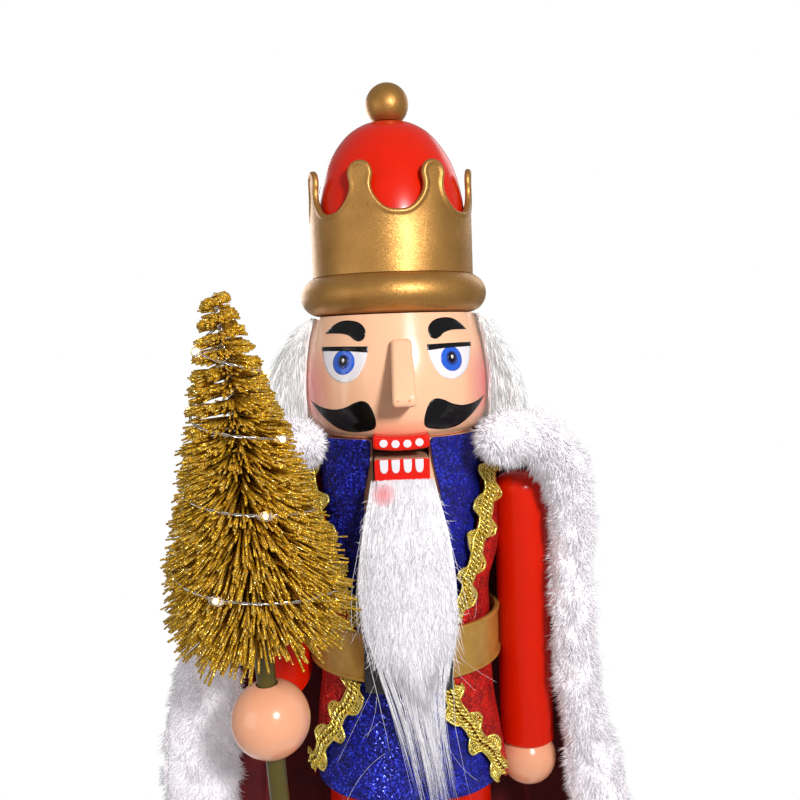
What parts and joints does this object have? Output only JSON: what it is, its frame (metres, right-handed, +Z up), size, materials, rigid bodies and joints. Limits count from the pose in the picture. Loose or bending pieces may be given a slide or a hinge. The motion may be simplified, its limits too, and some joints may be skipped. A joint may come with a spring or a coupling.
{
  "type": "nutcracker figure",
  "caption": "Wooden nutcracker king in crown, robe and beard, with a lever-worked jaw, holding a lit bottle-brush tree on a staff.",
  "frame": {"origin": "centre of the felt pad under the base", "axes": "+Z up the figure to its finial, -Y the way it faces, +X its left hand"},
  "size_m": [0.1733, 0.1471, 0.381],
  "materials": {
    "flesh_paint": "gloss flesh-coloured paint on wood",
    "red_paint": "high-gloss red paint on wood",
    "gold_paint": "satin metallic gold paint on wood",
    "black_paint": "gloss black paint on wood",
    "bare_wood": "plain dowel wood",
    "blue_glitter": "royal blue glitter felt",
    "red_glitter": "red glitter felt",
    "gold_braid": "wavy metallic gold braid",
    "belt_leather": "gold imitation leather",
    "buckle_black": "black plate",
    "white_hair": "long white faux hair",
    "white_fur": "short curly white faux fur",
    "red_velvet": "dark red velvet",
    "tree_gold": "gold bristles with glitter",
    "staff_paint": "olive gold painted dowel",
    "silver_wire": "thin silver wire with clear lamp drops",
    "steel": "plain steel",
    "black_plastic": "moulded black plastic",
    "base_felt": "green base felt"
  },
  "bodies": {
    "figure": {"base_plinth": "red_paint", "base_felt_pad": "base_felt", "battery_housing": "black_plastic", "coin_cell": "steel", "cell_spring_contact": "steel", "cell_rim_contact": "steel", "switch_body": "black_plastic", "torso": "flesh_paint", "vest": "blue_glitter", "coat": "red_glitter", "belt": "belt_leather", "belt_buckle": "buckle_black", "left_braid": "gold_braid", "right_braid": "gold_braid", "jaw_pin": "steel", "left_sleeve": "red_paint", "left_hand": "flesh_paint", "right_upper_sleeve": "red_paint", "right_forearm_sleeve": "red_paint", "right_hand": "flesh_paint", "left_arm_dowel": "bare_wood", "right_arm_dowel": "bare_wood", "left_leg_dowel": "bare_wood", "right_leg_dowel": "bare_wood", "left_head_dowel": "bare_wood", "right_head_dowel": "bare_wood", "crown_dowel": "bare_wood", "staff": "staff_paint", "tree_stem": "silver_wire", "tree_bristles": "tree_gold", "fairy_lights": "silver_wire", "head": "flesh_paint", "nose": "flesh_paint", "upper_teeth": "red_paint", "wig": "white_hair", "crown_roll": "gold_paint", "crown_band": "gold_paint", "crown_dome": "red_paint", "crown_finial": "gold_paint", "cape": "red_velvet", "fur_hem": "white_fur", "fur_collar": "white_fur", "fur_front_left": "white_fur", "fur_front_right": "white_fur", "left_boot": "black_paint", "left_boot_toe": "black_paint", "left_boot_cuff": "gold_paint", "left_trouser_leg": "red_paint", "right_boot": "black_paint", "right_boot_toe": "black_paint", "right_boot_cuff": "gold_paint", "right_trouser_leg": "red_paint"},
    "jaw": {"jaw_lever": "flesh_paint", "lower_teeth": "red_paint", "beard": "white_hair"},
    "battery_cover": {"battery_cover": "black_plastic"},
    "switch_knob": {"switch_knob": "steel"}
  },
  "joints": [
    {"name": "jaw_hinge", "type": "hinge", "parent": "figure", "child": "jaw", "pos_m": [0, -0.003, 0.214], "axis": [1, 0, 0], "range_deg": [0, 14], "deforming": ["beard"]},
    {"name": "battery_cover_slide", "type": "slide", "parent": "figure", "child": "battery_cover", "axis": [0, 1, 0], "range_m": [0, 0.045]},
    {"name": "switch_slide", "type": "slide", "parent": "figure", "child": "switch_knob", "axis": [0, 1, 0], "range_m": [0, 0.003]}
  ]
}
